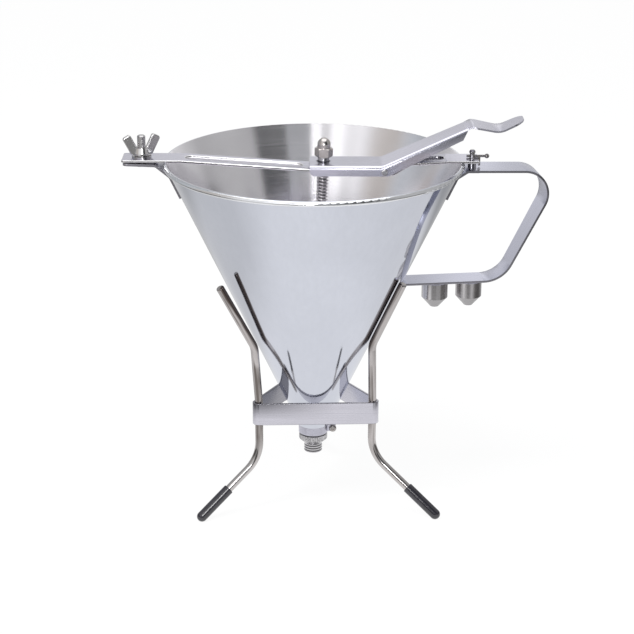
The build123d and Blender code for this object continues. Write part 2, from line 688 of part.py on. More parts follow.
def lever_tongue():
    """The flat thumb piece from the end of the flanges on."""
    web = strip(lever_line(), [LEVER_BEND_R, LEVER_PEAK_R, TONGUE_DIP_R], LEVER_T, LEVER_W)
    peak = LEVER_PEAK_W / 2
    upper = [
        (FLANGE_END_X - FLANGE_SHORT, peak - LEVER_EDGE_R * 0.6),
        (PEAK_X + TONGUE_FLARE, peak),
        (TIP_X, LEVER_TIP_W / 2),
    ]
    lower = [(x, -y) for x, y in reversed(upper)]
    plan = make_face(Polyline(*upper, *lower, close=True))
    plan = fillet(plan.vertices().group_by(Axis.X)[-1], TONGUE_TIP_R)
    return web & Pos(0, 0, WEB_Z - LEVER_RISE) * extrude(plan, amount=3 * LEVER_RISE)


def lever():
    low = PIVOT_Z - PIN_R - FLANGE_EDGE
    rise = LEVER_RISE / (PEAK_X - RISE_X)
    end_z = WEB_TOP_Z + rise * (FLANGE_END_X - RISE_X)
    outside = lever_block([
        (TAIL_X, WEB_TOP_Z),
        (RISE_X, WEB_TOP_Z),
        (FLANGE_END_X, end_z),
        (FLANGE_END_X - FLANGE_SLANT, end_z - FLANGE_SLANT * rise - FLANGE_TIP_H),
        (PIVOT_X + 2 * PIN_R, low),
        (TAIL_X + FLANGE_CORNER, low),
        (TAIL_X, low + FLANGE_CORNER),
    ], 0)
    far = LEVER_W
    inside = lever_block([
        (TAIL_X - far, WEB_TOP_Z - LEVER_T),
        (RISE_X, WEB_TOP_Z - LEVER_T),
        (FLANGE_END_X + far, end_z - LEVER_T + far * rise),
        (FLANGE_END_X + far, low - far),
        (TAIL_X - far, low - far),
    ], LEVER_T)
    shape = outside - inside + lever_tongue()
    slot = extrude(SlotOverall(ROD_SLOT_L, ROD_SLOT_W), amount=2 * LEVER_T, both=True)
    shape -= Pos(ROD_WEB_X, 0, WEB_Z) * slot
    return shape - cross(PIVOT_X, PIVOT_Z, 2 * LEVER_W, PIN_R + SEAT_FIT)


def lever_pivot_pin():
    pin = cross(PIVOT_X, PIVOT_Z, LEVER_W, PIN_R)
    for side in (1, -1):
        head = Cylinder(PIN_HEAD_R, PIN_HEAD_H, align=(Align.CENTER, Align.CENTER, Align.MIN))
        head = fillet(head.edges().group_by(Axis.Z)[-1], PIN_HEAD_H * 0.7)
        pin += Pos(PIVOT_X, side * LEVER_W / 2, PIVOT_Z) * Rot(-90 * side, 0, 0) * head
    return pin


SPRING_R = ROD_R + BODY_GAP + SPRING_WIRE_R
COLLAR_TOP_Z = SPRING_TOP_Z - SPRING_L - RUN_FIT
SEAT_RUN = (cone_r(SEAT_Z) - CONE_DX - SEAT_FIT - BORE_R) / SEAT_DEPTH
VALVE_LIFT = BODY_GAP * hypot(1, SEAT_RUN) / SEAT_RUN


def valve_z(r):
    """Height of the plug's sealing face at a radius."""
    return SEAT_Z - SEAT_DEPTH + (r - BORE_R) / SEAT_RUN + VALVE_LIFT


VALVE_TOP_Z = valve_z(VALVE_R) + VALVE_WALL


def piston_rod():
    shaft = rod(0, 0, VALVE_TOP_Z, NUT_Z + ROD_IN_NUT, ROD_R)
    hole = cross(0, COLLAR_TOP_Z - COLLAR_H / 2, 4 * COLLAR_R, COLLAR_PIN_R + SEAT_FIT)
    return tilted(shaft - hole)


def rod_washer():
    disc = rod(0, 0, NUT_Z - ROD_WASHER_T, NUT_Z, ROD_WASHER_R)
    disc = fillet(disc.edges().group_by(Axis.Z)[0], ROD_WASHER_T * 0.15)
    return tilted(disc - rod(0, 0, NUT_Z - 2 * ROD_WASHER_T, NUT_Z + ROD_WASHER_T, ROD_R + SEAT_FIT))


def acorn_nut():
    outline = RegularPolygon(NUT_FLATS / 2, 6, major_radius=False)
    hexagon = Pos(0, 0, NUT_Z) * extrude(outline, amount=NUT_HEX_H)
    corner = NUT_FLATS / sqrt(3)
    hexagon &= turned([
        (0, NUT_Z),
        (NUT_FLATS / 2, NUT_Z),
        (corner, NUT_Z + 0.5),
        (corner, NUT_Z + NUT_HEX_H - 0.6),
        (NUT_FLATS / 2, NUT_Z + NUT_HEX_H),
        (0, NUT_Z + NUT_HEX_H),
    ])
    dome_z = NUT_Z + NUT_HEX_H + NUT_DOME_WALL
    dome = rod(0, 0, NUT_Z, dome_z, NUT_DOME_R) + Pos(0, 0, dome_z) * Sphere(NUT_DOME_R)
    nut = hexagon + dome - rod(0, 0, NUT_Z - 1, NUT_Z + ROD_IN_NUT + SEAT_FIT, ROD_R + SEAT_FIT)
    return tilted(nut)


def spring_collar():
    ring = rod(0, 0, COLLAR_TOP_Z - COLLAR_H, COLLAR_TOP_Z, COLLAR_R)
    ring = chamfer(ring.edges().group_by(Axis.Z)[0], COLLAR_H * 0.15)
    ring -= rod(0, 0, COLLAR_TOP_Z - 2 * COLLAR_H, COLLAR_TOP_Z + 1, ROD_R + SEAT_FIT)
    return tilted(ring - cross(0, COLLAR_TOP_Z - COLLAR_H / 2, 4 * COLLAR_R, COLLAR_PIN_R + SEAT_FIT))


def collar_pin():
    return tilted(cross(0, COLLAR_TOP_Z - COLLAR_H / 2, 2 * COLLAR_R, COLLAR_PIN_R))


def seal_ring():
    top = valve_z(SEAL_OUT_R) + SEAL_T
    return turned([
        (SEAL_IN_R, valve_z(SEAL_IN_R)),
        (SEAL_OUT_R, valve_z(SEAL_OUT_R)),
        (SEAL_OUT_R, top),
        (SEAL_IN_R, top),
    ])


def valve_plug():
    body = turned([
        (0, valve_z(VALVE_NOSE_R)),
        (VALVE_NOSE_R, valve_z(VALVE_NOSE_R)),
        (VALVE_R, valve_z(VALVE_R)),
        (VALVE_R, VALVE_TOP_Z),
        (VALVE_HUB_R, VALVE_TOP_Z + 2),
        (VALVE_HUB_R, VALVE_TOP_Z + VALVE_HUB_H),
        (0, VALVE_TOP_Z + VALVE_HUB_H),
    ])
    bore = tilted(rod(0, 0, VALVE_TOP_Z - SEAT_FIT, VALVE_TOP_Z + 2 * VALVE_HUB_H, ROD_R + SEAT_FIT))
    return body - bore - seal_ring()


def spring_line():
    """The return spring's centre line: straight ends, and each quarter turn as two tangent arcs."""
    lead = 2 * SPRING_WIRE_R
    pitch = (SPRING_L - 2 * (lead + SPRING_LEAD_R)) / SPRING_TURNS
    slope = pitch / (2 * pi * SPRING_R)
    down = slope / hypot(1, slope)
    level = 1 / hypot(1, slope)
    fall = SPRING_LEAD_R * level
    pitch = (SPRING_L - 2 * (lead + fall)) / SPRING_TURNS
    top = SPRING_TOP_Z - lead - fall

    def node(step):
        a = step * pi / 2
        point = Vector(SPRING_R * cos(a), SPRING_R * sin(a), top - pitch * step / 4)
        tangent = Vector(-sin(a) * level, cos(a) * level, -down)
        return point, tangent

    steps = 4 * SPRING_TURNS
    first, heading = node(0)
    ahead = Vector(heading.X, heading.Y, 0).normalized()
    bend = first - ahead * (SPRING_LEAD_R * (1 - down)) + Vector(0, 0, fall)
    edges = [Line(bend + Vector(0, 0, lead), bend), TangentArc(bend, first, tangent=(0, 0, -1))]
    for i in range(steps):
        p0, t0 = node(i)
        p1, t1 = node(i + 1)
        chord = p1 - p0
        both = t0 + t1
        a = both.dot(both) - 4
        b = -2 * chord.dot(both)
        d = (-b - sqrt(b * b - 4 * a * chord.dot(chord))) / (2 * a)
        joint = (p0 + p1 + (t0 - t1) * d) / 2
        turn = (p1 - t1 * d) - (p0 + t0 * d)
        edges.append(TangentArc(p0, joint, tangent=t0))
        edges.append(TangentArc(joint, p1, tangent=turn))
    last, heading = node(steps)
    ahead = Vector(heading.X, heading.Y, 0).normalized()
    bend = last + ahead * (SPRING_LEAD_R * (1 - down)) - Vector(0, 0, fall)
    edges.append(TangentArc(last, bend, tangent=heading))
    edges.append(Line(bend, bend - Vector(0, 0, lead)))
    return edges


def spring_gap(edges):
    """Least clear distance of the spring to itself, on points along its line."""
    points = []
    run = 0.0
    for edge in edges:
        for share in (0.0, 0.25, 0.5, 0.75):
            points.append((run + share * edge.length, edge @ share))
        run += edge.length
    least = 1e9
    apart = pi * SPRING_R
    for i, (s0, p0) in enumerate(points):
        for s1, p1 in points[i + 1:]:
            if s1 - s0 > apart:
                least = min(least, (p1 - p0).length)
    return least - 2 * SPRING_WIRE_R


def return_spring():
    edges = spring_line()
    print("return spring: least gap to itself", round(spring_gap(edges), 3), "mm")
    path = Wire([piece.edges()[0] for piece in edges])
    start = Plane(origin=path @ 0, z_dir=path % 0)
    return tilted(sweep(start * Circle(SPRING_WIRE_R), path=path))


parts = {
    "funnel_cone": funnel_cone(),
    "outlet_neck": outlet_neck(),
    "neck_screw": neck_screw(),
    "outlet_gasket": outlet_gasket(),
    "outlet_nipple": outlet_nipple(),
    "stand_band": stand_band(),
    "left_lug_bracket": left_lug_bracket(),
    "lug_bolt": lug_bolt(),
    "lug_washer": lug_washer(),
    "wing_nut": wing_nut(),
    "handle": handle(),
    "nozzle_stud_inner": nozzle_stud(NOZZLE_INNER_X),
    "nozzle_stud_outer": nozzle_stud(NOZZLE_OUTER_X),
    "nozzle_inner": nozzle(NOZZLE_INNER_X, NOZZLE_HOLE_INNER_R),
    "nozzle_outer": nozzle(NOZZLE_OUTER_X, NOZZLE_HOLE_OUTER_R),
    "latch_stud": latch_stud(),
    "lock_pin": lock_pin(),
    "bridge_bar": bridge_bar(),
    "rod_bush": rod_bush(),
    "lever": lever(),
    "lever_pivot_pin": lever_pivot_pin(),
    "piston_rod": piston_rod(),
    "rod_washer": rod_washer(),
    "acorn_nut": acorn_nut(),
    "spring_collar": spring_collar(),
    "collar_pin": collar_pin(),
    "valve_plug": valve_plug(),
    "valve_seal": seal_ring(),
    "return_spring": return_spring(),
}

for side, (turn, splay, lean, foot_r) in LEGS.items():
    place = Pos(STAND_SHIFT, 0, 0) * Rot(0, 0, turn)
    parts["stand_leg_" + side] = place * stand_leg(splay, lean, foot_r)
    parts["foot_sleeve_" + side] = place * foot_sleeve(foot_r)

os.makedirs("parts", exist_ok=True)
for name, shape in parts.items():
    export_step(shape, "parts/" + name + ".step")
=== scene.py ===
from math import cos, hypot, pi, radians, sin

import bpy
from mathutils import Euler, Matrix, Vector


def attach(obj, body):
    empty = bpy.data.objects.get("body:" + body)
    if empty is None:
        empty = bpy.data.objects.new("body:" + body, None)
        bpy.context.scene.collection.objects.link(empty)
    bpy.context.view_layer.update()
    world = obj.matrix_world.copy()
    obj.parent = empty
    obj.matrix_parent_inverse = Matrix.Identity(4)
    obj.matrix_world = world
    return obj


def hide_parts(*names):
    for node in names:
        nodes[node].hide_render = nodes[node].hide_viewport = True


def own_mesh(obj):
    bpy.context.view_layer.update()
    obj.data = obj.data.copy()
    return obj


# Looks of the sauce dispenser: brushed and polished steel, drawn wire and black rubber, on a white floor.
# Metres, +Z up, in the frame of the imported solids.

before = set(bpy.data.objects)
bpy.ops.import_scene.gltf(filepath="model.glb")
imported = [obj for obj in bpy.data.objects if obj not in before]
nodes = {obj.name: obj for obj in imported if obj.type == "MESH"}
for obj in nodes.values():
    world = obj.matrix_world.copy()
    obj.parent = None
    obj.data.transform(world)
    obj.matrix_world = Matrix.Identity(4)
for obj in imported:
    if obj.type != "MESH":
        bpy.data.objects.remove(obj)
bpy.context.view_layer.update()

# Camera, at the photograph's angle
CAMERA_AT = (0.0008, -1.0856, 0.5238)
CAMERA_PITCH = 20.204  # degrees below the horizon
CAMERA_YAW = 0.08  # degrees to the right of +Y
CAMERA_ROLL = 0.18  # degrees
CAMERA_LENS = 101.0  # mm
CAMERA_SENSOR = 36.0  # mm

# Cone
SHEET_TOP_R = 0.0933  # outside of the sheet at its top, in the middle of the rolled lip
SHEET_TOP_Z = 0.2283
SHEET_SLOPE = 0.4674  # growth of its radius with height
SHEET_NEAR = 0.00004  # faces farther out than this belong to the lip
LIP_OUTWARD = 0.12  # the lip is bright where its face points outwards by this share

# Return spring, round the tilted valve rod
ROD_LEAN = 2.0  # degrees towards +X
ROD_FOOT_Z = 0.056  # height at which the rod crosses the funnel's axis
SPRING_TOP_Z = 0.22254  # along the rod
SPRING_LENGTH = 0.046
SPRING_RADIUS = 0.0033  # to the middle of the wire
SPRING_WIRE = 0.0006  # radius
SPRING_TURNS = 20
SPRING_CLOSED = 1.25  # flat turns at each end
RING_SIDES = 14
STEPS_PER_TURN = 40

# Wires of the stand, whose dark streaks are painted reflections:
# turn is the angle about Z of the upright plane that the bent wire follows, and plane_off its distance from it,
# streak_from is the noise from which its painted dark reflection streaks begin,
# arm_shade is the painted shade of its arm above the band,
# arm_top is the distance of the arm's top from the funnel's axis, which grows with height by arm_slope,
# and side is 1 for an arm whose painted dark reflection also lies on its left, seen from the axis, -1 on its right, 0
# on neither
WIRE_LOOKS = {
    "left": {
        "turn": 212.2, "plane_off": 0.0004, "streak_from": 0.44,
        "arm_shade": 0.95, "arm_top": 0.0680, "arm_slope": 0.580, "side": 1,
    },
    "right": {
        "turn": 332.2, "plane_off": 0.0004, "streak_from": 0.52,
        "arm_shade": 0.90, "arm_top": 0.0623, "arm_slope": 0.485, "side": -1,
    },
    "back": {
        "turn": 92.2, "plane_off": -0.0008, "streak_from": 0.44,
        "arm_shade": 0.85, "arm_top": 0.0623, "arm_slope": 0.485, "side": 0,
    },
}
WIRE_R = 0.0025
WIRE_DARK = (0.49, 0.46, 0.455)
WIRE_LIGHT = (0.585, 0.555, 0.55)
WIRE_ROUGH = (0.10, 0.18)
STREAK_SOFT = 0.16  # noise from the start of a streak to its full darkness
# Colours of the painted dark reflection streaks on the foot, the leg and the arm
PAINTED_REFLECTION_ON_FOOT = (0.50, 0.49, 0.49)
PAINTED_REFLECTION_ON_LEG = (0.17, 0.15, 0.14)
PAINTED_REFLECTION_ON_ARM = (0.100, 0.080, 0.072)
FOOT_BRIGHT_Z = 0.030  # the streaks are pale below this height
FOOT_DARK_Z = 0.050
ARM_LOW_Z = 0.098  # and turn to the arm's between these two
ARM_HIGH_Z = 0.112
ARM_TOP_Z = 0.157
ARM_INWARD = 0.56  # the painted dark reflection on an arm faces the cone by this share
ARM_SIDEWAYS = 0.83  # and sideways by this one
ARM_DARKER = 0.33  # change of the streaks' noise from an arm's middle to its sides

# Painted shade and reflections, and the knurl's specks: share of the steel's colour that is left in them, and where
# they lie
PAINTED_DARK_AND_KNURL_SHARE = 0.30
# Painted dark reflection and shade at the band's left
BAND_TOP_Z = 0.074
BAND_FRONT_Y = -0.0277
BAND_PAINTED_SHADE_X = (-0.030, 0.014)  # fades from left to right
BAND_PAINTED_SHADE_DROP = 0.011  # fades down from the upper edge
BAND_BEHIND = (0.003, 0.008)  # comes up behind the front
BAND_BEHIND_PAINTED_SHADE = 0.9
# Painted shade in the grooves of the outlet's thread
THREAD_TOP_Z = 0.0372
THREAD_FADE = 0.0003
THREAD_ROOT_R = 0.0052
THREAD_CREST_R = 0.0059
KNURL_FADE = 0.0006
KNURL_STAIN = (0.15, 0.8)  # between and on the specks
# Painted shade on the nozzles' tips, and painted dark reflection streaks on them
NOZZLE_SHOULDER_Z = 0.1401
SHOULDER_FADE = 0.0002
TIP_PAINTED_SHADE = 0.72
NOZZLE_REFLECTION_DARK = 0.5
NOZZLE_STREAK_NOISE = (0.40, 0.60)

# Rubber
RUBBER_DARK = (0.012, 0.011, 0.017)
RUBBER_LIGHT = (0.024, 0.022, 0.031)
RUBBER_ROUGH = (0.10, 0.16)
RUBBER_SHINE = 0.9

# Noise: frequency per metre along X, Y and Z
ALONG_Y_LINES = (25.0, 2600.0, 25.0)  # strips whose width lies along Y
ALONG_Z_LINES = (25.0, 25.0, 2600.0)  # turned pieces, and strips that stand on edge
ROUND_LINES = (4.0, 4.0, 2200.0)  # rings round the cone
FINE_SCRATCHES = (300.0, 300.0, 60.0)
CAST_GRAIN = (900.0, 900.0, 900.0)
KNURL = (1100.0, 1100.0, 1100.0)
NOZZLE_REFLECTION_STREAKS = (380.0, 380.0, 10.0)
WIRE_REFLECTION_STREAKS = (12.0, 620.0, 12.0)  # across the plane of a bent wire
WIRE_LINES = (30.0, 2400.0, 30.0)
WIRE_PATCHES = (40.0, 40.0, 40.0)
RUBBER_CLOUDS = (160.0, 160.0, 160.0)
RUBBER_GRAIN = (2200.0, 2200.0, 2200.0)

# Depth of the grain, in metres
POLISHED = 0.0000002
SMOOTH = 0.000002
FINE_TURNED = 0.000003
BRUSHED = 0.000004
TURNED = 0.000006
COARSE = 0.000008
FROSTED = 0.000012
DIPPED = 0.00002

# Unevenness of all steel
GRAIN_DARKEST = 0.35  # share of the darker tint in grain lines
POLISH_SPREAD = 0.2  # grain lines change the roughness by this share
PATCH_POLISH = 0.03  # and patches by this much
QUARTER_TURN = 0.25  # turns the highlights of spun metal across its grain

# Faces and edges of the strips
GROOVE_HALF = 0.0049  # half the width of the pressed groove in the bridge bar
GROOVE_SKIN = 0.00005  # faces lower than this below the bar's top belong to it
FRONT_FACING = -0.7  # a face whose normal's Y is less than this is at the front, where the bar and the handle are painted dark with shade
EDGE_ROUND = 0.00032
BAR_ROUND = 0.00045
ROUND_SEGMENTS = 3
SHARP_ANGLE = 40  # degrees; sharper edges are rounded
FLAT_ANGLE = 0.5  # degrees; faces that differ by less are one face
WELD_NEAR = 0.000002

# Studio: a cove that only reflections see, with a table and three rows of panels
WALL_RADIUS = 0.42
WALL_HEIGHT = 0.90
COVE_Z = 0.0004
COVE_HOLE_R = 0.01
COVE_SIDES = 128
TABLE_WHITE_R = 0.10  # the table is white up to here
TABLE_GREY_R = 0.20  # and has its panels' greys from here
TABLE_END_R = 0.30  # the lower panels take over between here and the wall
LOWER_TOP_Z = 0.12  # the lower panels end here
UPPER_LOW_Z = 0.20  # the upper panels begin here
UPPER_TOP_Z = 0.66  # the upper panels end here
TOP_LOW_Z = 0.72  # the top panels begin here
PANEL_WARMTH = 0.03  # change of red and blue per step of warmth
CAMERA_SIDE = -90  # degrees about Z; the middle of every row of panels

# Bright cards, also for reflections only: one in front, before the wall, and one overhead
FRONT_Y = -0.378
FRONT_HALF = 0.035
FRONT_LOW_Z = 0.20
FRONT_HIGH_Z = 0.36
FRONT_TURN = -3  # degrees about Z
FRONT_GLOW = 11.0
ABOVE_Z = 1.2
ABOVE_HALF = 0.55
ABOVE_GLOW = 2.0

# Lamps: name, place, width and height, watts
LAMPS = [
    ("key", (-0.85, -0.55, 1.55), (0.35, 0.35), 12),
    ("top", (0.0, -0.45, 1.6), (0.60, 0.35), 10),
]
LAMP_AIM = (0, 0, 0.15)

# World and floor
WHITE = (1.0, 1.0, 1.0)
SKY_TINT = (0.97, 0.98, 1.0)
SKY_STRENGTH = 0.55
FLOOR_HALF = 6.0
FLOOR_DROP = 0.0002
FLOOR_PAPER = (0.9, 0.9, 0.9)
FLOOR_GLOW = 1.035  # with the lamps' light this makes the open floor white
FLOOR_GLOW_SHARE = 0.9  # the rest is paper, which takes the shadow


# Helpers

class Surface:
    """A material with one Principled shader and the nodes that feed it."""

    def __init__(self, name):
        self.material = bpy.data.materials.new(name)
        self.material.use_nodes = True
        self.tree = self.material.node_tree
        self.shader = self.tree.nodes["Principled BSDF"]
        self.coords = self.add("ShaderNodeTexCoord").outputs["Object"]

    def add(self, kind, **settings):
        node = self.tree.nodes.new(kind)
        for key, value in settings.items():
            setattr(node, key, value)
        return node

    def link(self, output, socket):
        self.tree.links.new(output, socket)

    def set(self, **values):
        """Constants on the shader's own sockets; an underscore stands for a space."""
        for key, value in values.items():
            self.shader.inputs[key.replace("_", " ").title().replace("Ior", "IOR")].default_value = value

    def replace_shader(self, shader):
        """Another shader in place of the Principled one."""
        self.tree.nodes.remove(self.shader)
        self.shader = shader
        self.link(shader.outputs[0], self.tree.nodes["Material Output"].inputs["Surface"])

    def turned_about_z(self, turn):
        """The object's own coordinates, with X along the upright plane at an angle about Z."""
        mapping = self.add("ShaderNodeMapping")
        mapping.inputs["Rotation"].default_value = (0, 0, radians(-turn))
        self.link(self.coords, mapping.inputs["Vector"])
        return mapping.outputs["Vector"]

    def noise(self, stretch, detail=2.0, roughness=0.5, turn=0.0):
        """Noise over the object's own coordinates turned about Z, with a frequency per metre along each axis."""
        mapping = self.add("ShaderNodeMapping")
        mapping.inputs["Scale"].default_value = stretch
        self.link(self.turned_about_z(turn), mapping.inputs["Vector"])
        noise = self.add("ShaderNodeTexNoise")
        noise.inputs["Scale"].default_value = 1.0
        noise.inputs["Detail"].default_value = detail
        noise.inputs["Roughness"].default_value = roughness
        self.link(mapping.outputs["Vector"], noise.inputs["Vector"])
        return noise.outputs["Fac"]

    def span(self, value, low, high, start=0.3, end=0.7, smooth=False):
        """The value from start to end as a number from low to high."""
        span = self.add("ShaderNodeMapRange", interpolation_type="SMOOTHSTEP" if smooth else "LINEAR")
        span.inputs["From Min"].default_value = start
        span.inputs["From Max"].default_value = end
        span.inputs["To Min"].default_value = low
        span.inputs["To Max"].default_value = high
        self.link(value, span.inputs["Value"])
        return span.outputs["Result"]

    def mix(self, factor, a, b, blend="MIX"):
        """Colour a at factor 0 and b at factor 1."""
        mix = self.add("ShaderNodeMix", data_type="RGBA", blend_type=blend)
        self.link(factor, mix.inputs["Factor"])
        for socket, colour in ((mix.inputs["A"], a), (mix.inputs["B"], b)):
            if isinstance(colour, bpy.types.NodeSocket):
                self.link(colour, socket)
            else:
                socket.default_value = (*colour, 1.0)
        return mix.outputs["Result"]

    def bump(self, height, depth):
        """Bump from a height of 0 to 1 that stands for a depth in metres."""
        bump = self.add("ShaderNodeBump")
        bump.inputs["Strength"].default_value = 1.0
        bump.inputs["Distance"].default_value = depth
        self.link(height, bump.inputs["Height"])
        self.link(bump.outputs["Normal"], self.shader.inputs["Normal"])

    def along(self, axis):
        """The object's own coordinate along X, Y or Z, in metres."""
        apart = self.add("ShaderNodeSeparateXYZ")
        self.link(self.coords, apart.inputs["Vector"])
        return apart.outputs[axis]

    def from_axis(self):
        """Distance from the funnel's axis, in metres."""
        level = self.add("ShaderNodeVectorMath", operation="MULTIPLY")
        level.inputs[1].default_value = (1.0, 1.0, 0.0)
        self.link(self.coords, level.inputs[0])
        length = self.add("ShaderNodeVectorMath", operation="LENGTH")
        self.link(level.outputs["Vector"], length.inputs[0])
        return length.outputs["Value"]

    def math(self, operation, a, b):
        node = self.add("ShaderNodeMath", operation=operation)
        self.link(a, node.inputs[0])
        self.link(b, node.inputs[1])
        return node.outputs["Value"]

    def around_z(self):
        """Tangents that run round Z, for the highlights of turned and spun metal."""
        tangent = self.add("ShaderNodeTangent", direction_type="RADIAL", axis="Z")
        self.link(tangent.outputs["Tangent"], self.shader.inputs["Tangent"])


def shade(colour, factor):
    return tuple(min(1.0, c * factor) for c in colour)


def mesh_object(name, verts, faces):
    """An object in the scene with a new mesh."""
    mesh = bpy.data.meshes.new(name)
    mesh.from_pydata(verts, [], faces)
    thing = bpy.data.objects.new(name, mesh)
    bpy.context.scene.collection.objects.link(thing)
    return thing


# Materials

def steel(name, colour, rough, grain, depth=0.0, patch=25.0, vary=0.10, spun=0.0, painted_dark_and_knurl=None):
    """Steel with grain lines, soft patches in its tint and an uneven polish; spun is its anisotropy round Z."""
    s = Surface(name)
    lines = s.noise(grain, detail=3.0, roughness=0.6)
    patches = s.noise((patch, patch, patch), detail=3.0)
    tint = s.mix(s.span(patches, 0.0, 1.0), shade(colour, 1.0 - vary), shade(colour, 1.0 + vary * 0.5))
    grain_and_painted_dark = s.mix(s.span(lines, 0.0, GRAIN_DARKEST), tint, shade(colour, 1.0 - 2.0 * vary))
    # painted shade and reflections, and the nipple's speckled knurl, darken the steel where given
    if painted_dark_and_knurl:
        grain_and_painted_dark = s.mix(painted_dark_and_knurl(s), grain_and_painted_dark, shade(colour, PAINTED_DARK_AND_KNURL_SHARE))
    s.link(grain_and_painted_dark, s.shader.inputs["Base Color"])
    by_line = s.span(lines, rough * (1 - POLISH_SPREAD), rough * (1 + POLISH_SPREAD))
    by_patch = s.span(patches, -PATCH_POLISH, PATCH_POLISH)
    s.link(s.math("ADD", by_line, by_patch), s.shader.inputs["Roughness"])
    s.set(metallic=1.0)
    if spun:
        s.around_z()
        s.set(anisotropic=spun, anisotropic_rotation=QUARTER_TURN)
    if depth:
        s.bump(lines, depth)
    return s.material


def band_painted_shade(s):
    """Painted dark reflection along the upper edge at the left of the band, and painted shade on its side behind,
    also at the left.
    """
    left = s.span(s.along("X"), 1.0, 0.0, *BAND_PAINTED_SHADE_X)
    edge = s.span(s.along("Z"), 0.0, 1.0, BAND_TOP_Z - BAND_PAINTED_SHADE_DROP, BAND_TOP_Z)
    behind = s.span(s.along("Y"), 0.0, BAND_BEHIND_PAINTED_SHADE, *(BAND_FRONT_Y + depth for depth in BAND_BEHIND))
    return s.math("MULTIPLY", left, s.math("MAXIMUM", edge, behind))


def nipple_painted_shade_and_knurl(s):
    """Painted shade in the grooves of the outlet's thread, and a darker speckled knurl on the collar above it."""
    below = s.span(s.along("Z"), 1.0, 0.0, THREAD_TOP_Z - THREAD_FADE, THREAD_TOP_Z)
    thread = s.math("MULTIPLY", below, s.span(s.from_axis(), 1.0, 0.0, THREAD_ROOT_R, THREAD_CREST_R))
    above = s.span(s.along("Z"), 0.0, 1.0, THREAD_TOP_Z, THREAD_TOP_Z + KNURL_FADE)
    knurl = s.span(s.noise(KNURL, detail=1.0), *KNURL_STAIN)
    return s.math("MAXIMUM", thread, s.math("MULTIPLY", above, knurl))


def nozzle_painted_reflections(s):
    """Painted dark reflection streaks, upright, on the spare nozzles, and painted shade on their tips."""
    tip = s.span(s.along("Z"), TIP_PAINTED_SHADE, 0.0, NOZZLE_SHOULDER_Z - SHOULDER_FADE, NOZZLE_SHOULDER_Z + SHOULDER_FADE)
    streaks = s.span(s.noise(NOZZLE_REFLECTION_STREAKS, detail=1.0), 0.0, NOZZLE_REFLECTION_DARK, *NOZZLE_STREAK_NOISE)
    return s.math("MAXIMUM", tip, streaks)


def rubber(name):
    """Smooth dipped rubber with faint unevenness and a soft shine."""
    s = Surface(name)
    clouds = s.noise(RUBBER_CLOUDS, detail=4.0)
    s.link(s.mix(s.span(clouds, 0.0, 1.0), RUBBER_DARK, RUBBER_LIGHT), s.shader.inputs["Base Color"])
    s.link(s.span(clouds, *RUBBER_ROUGH), s.shader.inputs["Roughness"])
    s.set(specular_ior_level=RUBBER_SHINE)
    s.bump(s.noise(RUBBER_GRAIN, detail=2.0), DIPPED)
    return s.material


def arm_painted_reflection(s, turn, plane_off, arm_top, arm_slope, side):
    """Change of the streaks' noise across an arm: more painted dark reflection on the side that faces the cone."""
    across = s.add("ShaderNodeVectorMath", operation="DOT_PRODUCT")
    s.link(s.turned_about_z(turn), across.inputs[0])
    across.inputs[1].default_value = (-ARM_INWARD, side * ARM_SIDEWAYS, ARM_INWARD * arm_slope)
    middle = side * ARM_SIDEWAYS * plane_off - ARM_INWARD * (arm_top - arm_slope * ARM_TOP_Z)
    return s.span(across.outputs["Value"], -ARM_DARKER, ARM_DARKER, middle - WIRE_R, middle + WIRE_R)


def drawn_wire(name, turn, plane_off, streak_from, arm_shade, arm_top, arm_slope, side):
    """Bent wire with painted dark reflection streaks, in the upright plane at an angle about Z."""
    s = Surface(name)
    fine = s.noise(WIRE_LINES, detail=2.0, turn=turn)
    tint = s.mix(s.span(s.noise(WIRE_PATCHES, detail=3.0), 0.0, 1.0), WIRE_DARK, WIRE_LIGHT)
    on_leg = s.span(s.along("Z"), 0.0, 1.0, FOOT_BRIGHT_Z, FOOT_DARK_Z)
    on_arm = s.span(s.along("Z"), 0.0, 1.0, ARM_LOW_Z, ARM_HIGH_Z)
    dark = s.mix(on_arm, s.mix(on_leg, PAINTED_REFLECTION_ON_FOOT, PAINTED_REFLECTION_ON_LEG), PAINTED_REFLECTION_ON_ARM)
    streaks = s.noise(WIRE_REFLECTION_STREAKS, detail=3.0, roughness=0.6, turn=turn)
    more = s.math("MULTIPLY", on_arm, arm_painted_reflection(s, turn, plane_off, arm_top, arm_slope, side))
    streaks = s.span(s.math("ADD", streaks, more), 0.0, 1.0, streak_from, streak_from + STREAK_SOFT)
    colour = s.mix(on_arm, s.mix(streaks, tint, dark), shade(WHITE, arm_shade), blend="MULTIPLY")
    s.link(colour, s.shader.inputs["Base Color"])
    s.link(s.span(fine, *WIRE_ROUGH), s.shader.inputs["Roughness"])
    s.set(metallic=1.0)
    s.bump(fine, SMOOTH)
    return s.material


mirror = steel("polished_steel", (0.63, 0.65, 0.72), 0.07, FINE_SCRATCHES, POLISHED, patch=20.0, vary=0.045)
bright = steel("bright_steel", (0.84, 0.85, 0.88), 0.22, FINE_SCRATCHES, POLISHED, patch=60.0, vary=0.04)
spun_inside = steel("spun_steel", (0.88, 0.865, 0.90), 0.18, ROUND_LINES, patch=30.0, vary=0.05, spun=0.9)
satin = steel("satin_steel", (0.65, 0.645, 0.74), 0.24, ALONG_Y_LINES, BRUSHED)
satin_dark = steel("satin_steel_dark", (0.46, 0.45, 0.50), 0.24, ALONG_Y_LINES, BRUSHED)
# The bar's groove is rougher, and its darker colour is painted shade
pressed = steel("pressed_steel", (0.50, 0.49, 0.54), 0.42, ALONG_Y_LINES, BRUSHED)
satin_blue = steel("satin_steel_blue", (0.62, 0.63, 0.745), 0.24, ALONG_Y_LINES, BRUSHED)
